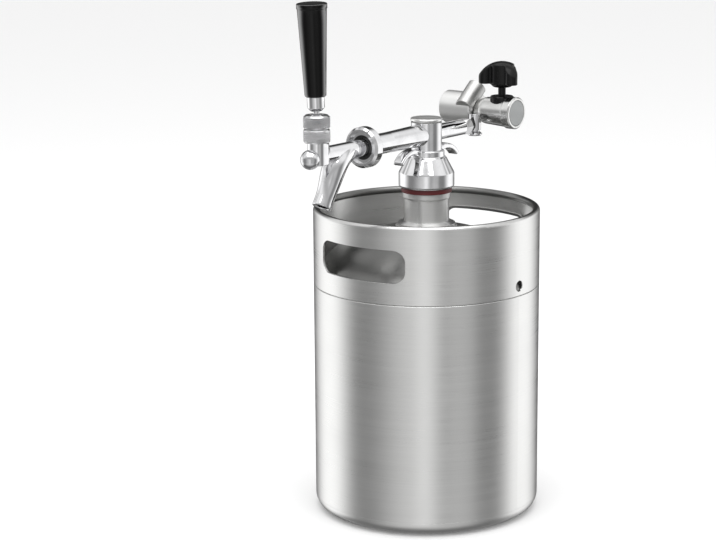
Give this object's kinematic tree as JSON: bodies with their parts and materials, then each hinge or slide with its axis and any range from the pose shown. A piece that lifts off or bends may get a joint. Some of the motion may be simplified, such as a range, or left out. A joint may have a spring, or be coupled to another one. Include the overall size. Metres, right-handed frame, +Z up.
{
  "type": "mini keg beer dispenser",
  "caption": "Small pressurised steel keg with a carrying ring, a clamped tap head with lever faucet and spout, and a gas regulator with a cartridge socket.",
  "frame": {"origin": "centre of the stand ring, on the keg's axis, in the plane it stands on", "axes": "+Z up along the keg's axis; -Y towards the spout and the user; +X to the user's right, where the regulator's flared housing points"},
  "size_m": [0.164, 0.2218, 0.38],
  "materials": {
    "keg_steel": "fine horizontal brushing",
    "neck_steel": "turned and polished",
    "tap_chrome": "polished plating",
    "knurl_chrome": "knurled, satin plating",
    "regulator_nickel": "satin nickel plating",
    "plug_satin": "bead blasted",
    "gasket_red": "dark red silicone",
    "seal_grey": "grey silicone",
    "seal_black": "black rubber",
    "handle_black": "gloss moulded",
    "knob_black": "smooth moulded",
    "inner_steel": "machined"
  },
  "bodies": {
    "keg": {"keg_body": "keg_steel", "keg_bottom": "keg_steel", "keg_dome": "keg_steel", "keg_neck": "neck_steel", "keg_skirt": "keg_steel", "neck_gasket": "gasket_red"},
    "neck_seal": {"post_seal": "seal_grey"},
    "tap_head": {"tap_post": "tap_chrome", "post_cap": "tap_chrome", "post_cap_seal": "seal_grey", "dip_tube": "inner_steel", "shank": "tap_chrome", "shank_flange": "tap_chrome", "coupling_seal": "seal_grey", "faucet_body": "tap_chrome", "faucet_nose": "knurl_chrome", "bonnet_base": "knurl_chrome", "bonnet_cap": "knurl_chrome", "gas_inlet": "tap_chrome", "gas_ring": "seal_black", "outlet_elbow": "tap_chrome", "relief_seat": "tap_chrome", "regulator_body": "regulator_nickel", "body_cap": "regulator_nickel", "housing_seal": "seal_black", "regulator_housing": "regulator_nickel", "housing_plug": "plug_satin", "cartridge_socket": "regulator_nickel", "piercing_pin": "inner_steel", "socket_seal": "seal_grey", "knob_collar": "knob_black", "pressure_piston": "inner_steel", "pressure_spring": "inner_steel"},
    "clamp_nut": {"wing_nut": "tap_chrome"},
    "handle": {"faucet_lever": "tap_chrome", "lever_ferrule": "tap_chrome", "tap_handle": "handle_black"},
    "plunger": {"faucet_plunger": "inner_steel", "plunger_washer": "seal_grey"},
    "faucet_nut": {"coupling_nut": "tap_chrome"},
    "gas_swivel": {"gas_nut": "tap_chrome"},
    "button": {"spring_button": "inner_steel"},
    "knob": {"adjusting_screw": "knob_black", "regulator_knob": "knob_black"},
    "relief": {"relief_cap": "tap_chrome"}
  },
  "joints": [
    {"name": "tap_swivel", "type": "hinge", "parent": "keg", "child": "neck_seal", "pos_m": [0, 0, 0.247], "axis": [0, 0, 1], "continuous": true},
    {"name": "tap_lift", "type": "slide", "parent": "neck_seal", "child": "tap_head", "axis": [0, 0, 1], "range_m": [0, 0.24]},
    {"name": "clamp_nut_turn", "type": "hinge", "parent": "tap_head", "child": "clamp_nut", "pos_m": [0, 0, 0.245], "axis": [0, 0, 1], "continuous": true},
    {"name": "handle_pull", "type": "hinge", "parent": "tap_head", "child": "handle", "pos_m": [0, -0.1225, 0.2999], "axis": [1, 0, 0], "range_deg": [0, 22]},
    {"name": "plunger_slide", "type": "slide", "parent": "tap_head", "child": "plunger", "axis": [0, 1, 0], "range_m": [0, 0.0095]},
    {"name": "faucet_nut_turn", "type": "hinge", "parent": "tap_head", "child": "faucet_nut", "pos_m": [0, -0.071, 0.2759], "axis": [0, 1, 0], "continuous": true},
    {"name": "gas_nut_turn", "type": "hinge", "parent": "tap_head", "child": "gas_swivel", "pos_m": [0, 0.046, 0.2759], "axis": [0, 1, 0], "continuous": true},
    {"name": "screw_travel", "type": "slide", "parent": "tap_head", "child": "button", "axis": [0, 0, 1], "range_m": [-0.0026, 0], "deforming": ["pressure_spring"]},
    {"name": "knob_turn", "type": "hinge", "parent": "button", "child": "knob", "pos_m": [0.0182, 0.068, 0.3], "axis": [0, 0, 1], "range_deg": [-900, 0]},
    {"name": "relief_pull", "type": "slide", "parent": "tap_head", "child": "relief", "axis": [0, 0, -1], "range_m": [0, 0.002], "stiffness_N_per_m": 600, "springref_m": -0.001}
  ],
  "couplings": [
    {"joint": "plunger_slide", "follows": "handle_pull", "m_per_rad": 0.02375},
    {"joint": "screw_travel", "follows": "knob_turn", "m_per_rad": 0.00015915}
  ]
}
